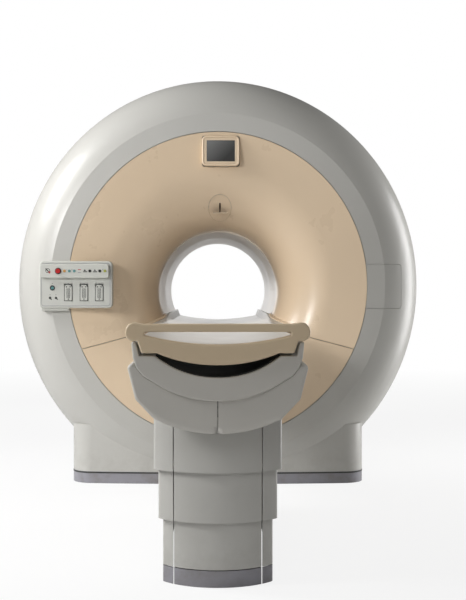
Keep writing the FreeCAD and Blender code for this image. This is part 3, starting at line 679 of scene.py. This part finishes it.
def make_coil_sockets():
    """Each socket: a light insert with rows of dark pins and three small keys, inside the dark CAD frame."""
    edge, face = 0.0028, 0.0008
    column_pitch, row_pitch, first_row = 0.0065, 0.0055, 0.017
    for number in range(1, 4):
        low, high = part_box(f"coil_socket_{number}")
        x = (low.x + high.x) / 2
        y = low.y
        half = (high.x - low.x) / 2
        shoulder, top = high.z - 0.016, high.z - 0.006
        room = [
            (x - half + edge, low.z + edge),
            (x + half - edge, low.z + edge),
            (x + half - edge, shoulder),
            (x + half - 0.010, top),
            (x - half + 0.010, top),
            (x - half + edge, shoulder),
        ]
        insert = softened(room, 0.003)
        moulding(f"coil_insert_{number}", [insert], y - face, y + 0.012, 0.001, "panel", steps=2)
        for column in (-1, 0, 1):
            for row in range(9):
                pin = circle(x + column_pitch * column, low.z + first_row + row_pitch * row, 0.0019, 8)
                name = f"coil_pin_{number}_{column + 2}_{row + 1}"
                moulding(name, [pin], y - 0.0022, y + BURIED, 0.0005, "socket", steps=1)
        for side, side_name in ((-1, "left"), (1, "right")):
            key = circle(x + side * 0.0095, high.z - 0.0165, 0.0034, 10)
            flat_mark(f"coil_key_{number}_{side_name}", [key], y - face, "socket")
        low_key = circle(x, low.z + 0.0095, 0.0030, 10)
        flat_mark(f"coil_low_key_{number}", [low_key], y - face, "socket")


def make_strip_marks():
    """The signs beside the keys: plain shapes that say what each key does."""
    y = STRIP_Y
    middle = centre(*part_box("table_up_button"))[1]

    def key_x(node):
        return centre(*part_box(node))[0]

    def sign(name, x, offsets, slot, thickness=PROUD):
        flat_mark(name, [placed(x, middle, offsets)], y, slot, thickness)

    stop = key_x("emergency_stop_button")
    flat_mark("stop_ring", [circle(stop, middle, 0.0165)], y, "socket", 0.0015)
    alarm = stop - 0.054
    ring, hole = (circle(alarm + 0.002, middle + 0.002, radius, 24) for radius in (0.0115, 0.0090))
    flat_mark("alarm_sign_ring", [ring, hole], y, "socket")
    bar = ((-0.010, 0.012), (-0.007, 0.014), (0.013, -0.008), (0.010, -0.011))
    sign("alarm_sign_bar", alarm, bar, "black_button", 0.001)
    tip = ((0.004, -0.004), (0.017, -0.002), (0.012, -0.014))
    sign("alarm_sign_tip", alarm, tip, "red_button", 0.0012)
    slots_x = (key_x("table_down_button") + key_x("tabletop_in_button")) / 2 - 0.013
    half_length, half_height = 0.008, 0.0016
    for name, dz, slot in (("upper", 0.0065, "red_button"), ("lower", -0.0075, "plinth")):
        slot_low = (slots_x - half_length, middle + dz - half_height)
        slot_high = (slots_x + half_length, middle + dz + half_height)
        flat_mark(f"lamp_slot_{name}", [rounded_rectangle(slot_low, slot_high, 0.002, 3)], y, slot)
    table = ((-0.011, -0.006), (0.009, -0.006), (0.009, -0.002), (-0.011, -0.002))
    arrow = ((-0.009, 0.001), (0.003, 0.001), (-0.003, 0.009))
    for key in ("tabletop_in", "tabletop_out"):
        x = key_x(key + "_button") - 0.022
        sign(key + "_sign_table", x, table, "black_button")
        sign(key + "_sign_arrow", x, arrow, "black_button")
    tick = ((-0.013, 0.004), (-0.010, 0.004), (-0.010, 0.010), (-0.013, 0.010))
    for key in ("ventilation", "table_up", "table_down", "bore_light"):
        sign(key + "_sign", key_x(key + "_button"), tick, "plinth")


def make_socket_marks():
    """A coloured core in the round socket, and the dots over the sockets."""
    low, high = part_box("monitoring_socket")
    x, z = centre(low, high)
    y = low.y
    core = circle(x, z, 0.0075, 20)
    moulding("monitoring_core", [core], y + 0.001, y + 0.010, 0.001, "teal_button", steps=2)
    flat_mark("monitoring_dot", [circle(x, z + 0.022, 0.002, 10)], PANEL_LOW.y, "black_button")
    low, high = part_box("signal_jacks")
    for name, jack_x in (("left", low.x + 0.006), ("right", high.x - 0.006)):
        dot = circle(jack_x, high.z + 0.010, 0.0018, 10)
        sign = circle(jack_x + 0.006, low.z - 0.001, 0.003, 10)
        flat_mark(f"jack_dot_{name}", [dot], PANEL_LOW.y, "black_button")
        flat_mark(f"jack_sign_{name}", [sign], PANEL_LOW.y, "black_button")


def make_display_frame():
    """The bezel: a rounded ridge all round with a step down to the screen."""
    low, high = BEZEL_LOW, BEZEL_HIGH
    ridge_width = 0.011
    ridge_low = (low.x + ridge_width, low.z + ridge_width)
    ridge_high = (high.x - ridge_width, high.z - ridge_width)
    outer = rounded_rectangle((low.x, low.z), (high.x, high.z), 0.022, 8)
    ridge_in = rounded_rectangle(ridge_low, ridge_high, 0.013, 8)
    glass = rounded_rectangle((SCREEN_LOW.x, SCREEN_LOW.z), (SCREEN_HIGH.x, SCREEN_HIGH.z), 0.003, 3)
    ridge = moulding("display_ridge", [outer, ridge_in], low.y + 0.0022, high.y, 0.005, "funnel", steps=5)
    moulding("display_step", [ridge_in, glass], low.y + 0.0045, high.y - 0.002, 0.002, "funnel", steps=3)
    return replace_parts(ridge, "display_bezel")


def make_laser_sill():
    """The little sill at the foot of the laser window: a dark line with a light lip under it."""
    half_length, depth = 0.036, 0.030
    low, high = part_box("laser_window")
    x = (low.x + high.x) / 2
    z = low.z + 0.001
    y = low.y
    for name, dz, half_height, slot, proud in (
        ("line", 0.0, 0.0012, "laser_window", 0.0015),
        ("lip", -0.0035, 0.0020, "funnel", 0.0045),
    ):
        sill_low = (x - half_length, z + dz - half_height)
        sill_high = (x + half_length, z + dz + half_height)
        loop = rounded_rectangle(sill_low, sill_high, half_height * 0.9, 3)
        moulding(f"laser_sill_{name}", [loop], y - proud, y + depth, half_height * 0.5, slot, steps=2)


# ---- the scene ----


def make_camera():
    """Level, at the height of the bore's axis, in front of the handle end."""
    data = bpy.data.cameras.new("camera")
    camera = bpy.data.objects.new("camera", data)
    bpy.context.scene.collection.objects.link(camera)
    camera.location = (0, RING_Y - CAMERA_DISTANCE, AXIS_Z)
    camera.rotation_euler = (math.pi / 2, 0, 0)
    data.lens = 67.26
    data.shift_x = 0.0253
    data.shift_y = -0.0158
    data.clip_end = 100
    bpy.context.scene.camera = camera


def softbox(name, place, aim, size, power):
    data = bpy.data.lights.new(name, "AREA")
    data.shape = "RECTANGLE"
    data.size, data.size_y = size
    data.energy = power
    light = bpy.data.objects.new(name, data)
    light.location = place
    light.rotation_euler = (Vector(aim) - Vector(place)).to_track_quat("-Z", "Y").to_euler()
    bpy.context.scene.collection.objects.link(light)


def make_floor():
    """A pale floor that fades into the white of the room with distance."""
    fade_start, fade_end, near_share = 2.0, 9.0, 0.84
    mesh = bmesh.new()
    bmesh.ops.create_grid(mesh, x_segments=24, y_segments=24, size=40)
    data = bpy.data.meshes.new("studio_floor")
    mesh.to_mesh(data)
    mesh.free()
    floor = bpy.data.objects.new("studio_floor", data)
    floor.location.z = -0.0005
    bpy.context.scene.collection.objects.link(floor)
    pale = bpy.data.materials.new("floor_pale")
    pale.use_nodes = True
    tree = pale.node_tree
    principled = tree.nodes["Principled BSDF"]
    principled.inputs["Base Color"].default_value = (0.9, 0.9, 0.9, 1)
    principled.inputs["Roughness"].default_value = 0.75
    glow = add(tree, "Emission", {"Color": (1, 1, 1, 1), "Strength": 1.0})
    where = add(tree, "TexCoord").outputs["Object"]
    distance = add(tree, "VectorMath", {0: where}, operation="LENGTH").outputs["Value"]
    share = remap(tree, distance, fade_start, fade_end, near_share, 1.0)
    seen = maths(tree, "MULTIPLY", share, add(tree, "LightPath").outputs["Is Camera Ray"])
    mixed = add(tree, "MixShader", {0: seen, 1: principled.outputs[0], 2: glow.outputs[0]})
    tree.links.new(mixed.outputs[0], tree.nodes["Material Output"].inputs["Surface"])
    data.materials.append(pale)


def make_room():
    """White all round to the eye, but dim as a light, so that the softboxes model the shapes."""
    world = bpy.data.worlds.new("studio")
    bpy.context.scene.world = world
    world.use_nodes = True
    tree = world.node_tree
    dim = tree.nodes["Background"]
    dim.inputs["Color"].default_value = (1, 0.99, 0.97, 1)
    dim.inputs["Strength"].default_value = 0.16
    white = add(tree, "Background", {"Color": (1, 1, 1, 1), "Strength": 1.0})
    seen = add(tree, "LightPath").outputs["Is Camera Ray"]
    mixed = add(tree, "MixShader", {0: seen, 1: dim.outputs[0], 2: white.outputs[0]})
    tree.links.new(mixed.outputs[0], tree.nodes["World Output"].inputs["Surface"])
    bpy.context.scene.view_settings.view_transform = "Standard"


def make_studio():
    make_floor()
    make_room()
    for light in LIGHTS:
        softbox(*light)


dress_frame()
make_camera()
make_studio()
make_trough()
make_hull(-1)
make_hull(1)
make_handle_end()
make_trough_painted_shade_sheet()
make_tier_clip()
make_entry_ledge(-1)
make_entry_ledge(1)
make_panel_edge()
make_plinth_line()
make_panel()
make_coil_sockets()
make_strip_marks()
make_socket_marks()
make_display_frame()
make_laser_sill()
